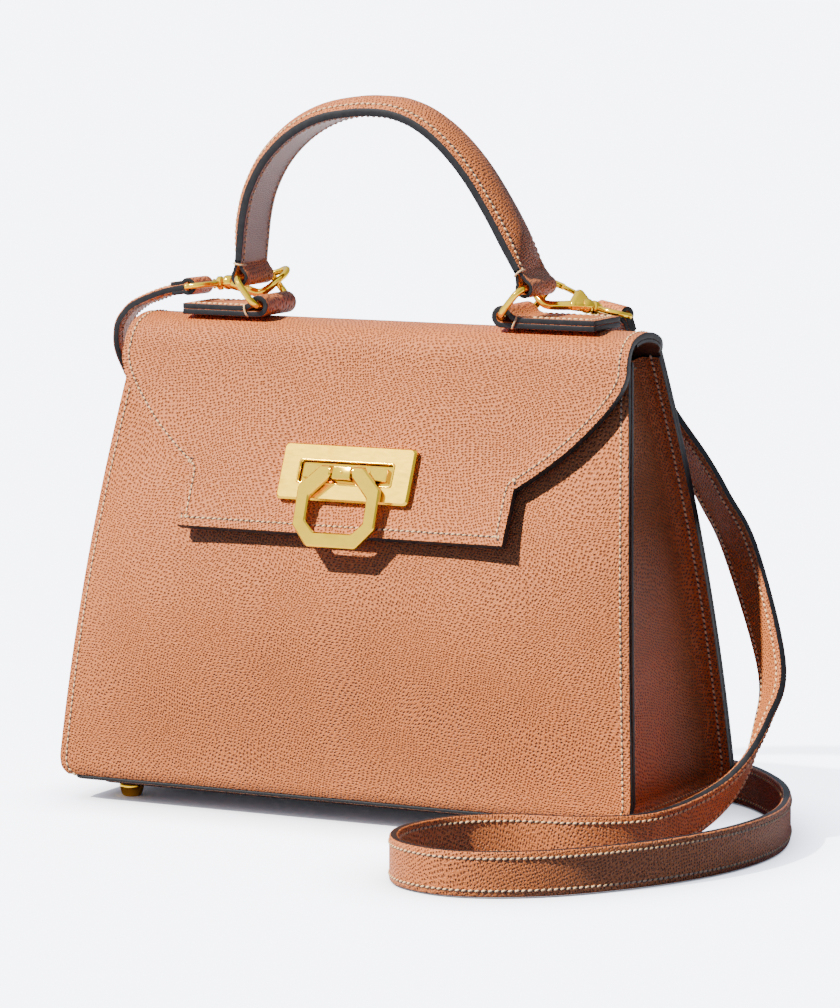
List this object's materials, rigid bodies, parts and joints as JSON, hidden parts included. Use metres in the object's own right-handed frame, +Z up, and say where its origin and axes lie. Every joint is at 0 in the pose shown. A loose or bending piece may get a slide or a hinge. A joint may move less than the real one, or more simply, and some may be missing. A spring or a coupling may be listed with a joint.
{
  "type": "top handle handbag",
  "caption": "Structured trapezoid top-handle handbag with a front flap, ring clasp, arched handle on oval rings, shoulder strap with snap hooks and metal feet.",
  "frame": {"origin": "on the floor, under the middle of the box of the bag without its shoulder strap", "axes": "+X along the bag's width to the right of its front, +Y from its front to its back, +Z up; the clasp is on the -Y side"},
  "size_m": [0.3149, 0.2414, 0.2796],
  "materials": {
    "tan_leather": "satin pebbled",
    "brown_lining": "satin",
    "stiffener_board": "matt",
    "padding": "matt",
    "gold_brass": "polished",
    "steel": "satin"
  },
  "bodies": {
    "bag": {"front_panel": "tan_leather", "back_panel": "tan_leather", "left_gusset": "tan_leather", "right_gusset": "tan_leather", "base_panel": "tan_leather", "left_tab": "tan_leather", "right_tab": "tan_leather", "shoulder_strap": "tan_leather", "crest_lining": "brown_lining", "front_lining": "brown_lining", "back_lining": "brown_lining", "inner_pocket": "brown_lining", "left_lining": "brown_lining", "right_lining": "brown_lining", "front_stiffener": "stiffener_board", "back_stiffener": "stiffener_board", "base_board": "stiffener_board", "foot_front_left": "gold_brass", "foot_back_left": "gold_brass", "foot_front_right": "gold_brass", "foot_back_right": "gold_brass", "hook_eye_left": "gold_brass", "hook_eye_right": "gold_brass", "washer_front_left": "steel", "washer_back_left": "steel", "washer_front_right": "steel", "washer_back_right": "steel", "keeper_plate": "steel"},
    "flap": {"flap_leather": "tan_leather", "flap_stiffener": "stiffener_board", "flap_lining": "brown_lining", "lock_back_plate": "steel", "flap_magnet": "steel", "lock_plate": "gold_brass", "lock_rivet_left": "gold_brass", "lock_rivet_right": "gold_brass", "clasp_base": "gold_brass", "clasp_pin": "gold_brass"},
    "clasp": {"clasp_ring": "gold_brass"},
    "ring_left": {"left_ring": "gold_brass"},
    "handle": {"handle_cover": "tan_leather", "handle_core": "padding", "handle_lining": "brown_lining"},
    "ring_right": {"right_ring": "gold_brass"},
    "hook_left": {"hook_body_left": "gold_brass", "hook_pin_left": "steel"},
    "gate_left": {"hook_gate_left": "gold_brass"},
    "hook_right": {"hook_body_right": "gold_brass", "hook_pin_right": "steel"},
    "gate_right": {"hook_gate_right": "gold_brass"}
  },
  "joints": [
    {"name": "flap_hinge", "type": "hinge", "parent": "bag", "child": "flap", "pos_m": [0, -0.01533, 0.18365], "axis": [-1, 0, 0], "range_deg": [0, 120]},
    {"name": "clasp_ring_hinge", "type": "hinge", "parent": "flap", "child": "clasp", "pos_m": [0, -0.04027, 0.13675], "axis": [-1, 0, 0], "range_deg": [0, 110]},
    {"name": "left_ring_hinge", "type": "hinge", "parent": "bag", "child": "ring_left", "pos_m": [-0.053, 0.00112, 0.1963], "axis": [0, 1, 0], "range_deg": [-5, 5]},
    {"name": "handle_hinge", "type": "hinge", "parent": "ring_left", "child": "handle", "pos_m": [-0.062, 0.00112, 0.2073], "axis": [0, 1, 0], "range_deg": [-4.4, 4.4]},
    {"name": "right_ring_hinge", "type": "hinge", "parent": "bag", "child": "ring_right", "pos_m": [0.053, 0.00112, 0.1963], "axis": [0, 1, 0], "range_deg": [-5, 5]},
    {"name": "left_hook_swivel", "type": "hinge", "parent": "bag", "child": "hook_left", "pos_m": [-0.0765, 0.00732, 0.2035], "axis": [-0.9658, -0.2318, -0.1159], "range_deg": [-3, 3]},
    {"name": "left_gate_hinge", "type": "hinge", "parent": "hook_left", "child": "gate_left", "pos_m": [-0.0725, 0.01382, 0.2052], "axis": [-0.2249, 0.3896, -0.8931], "range_deg": [0, 20], "stiffness_Nm_per_rad": 0.02, "springref_deg": -28.65},
    {"name": "right_hook_swivel", "type": "hinge", "parent": "bag", "child": "hook_right", "pos_m": [0.0775, 0.01482, 0.1993], "axis": [0.5015, 0.8359, -0.2229], "range_deg": [-3, 3]},
    {"name": "right_gate_hinge", "type": "hinge", "parent": "hook_right", "child": "gate_right", "pos_m": [0.0735, 0.01582, 0.2035], "axis": [-0.0004, -0.5724, 0.82], "range_deg": [0, 20], "stiffness_Nm_per_rad": 0.02, "springref_deg": -28.65}
  ],
  "couplings": [
    {"joint": "handle_hinge", "follows": "left_ring_hinge", "ratio": -0.8548},
    {"joint": "right_ring_hinge", "follows": "left_ring_hinge", "ratio": 1}
  ]
}
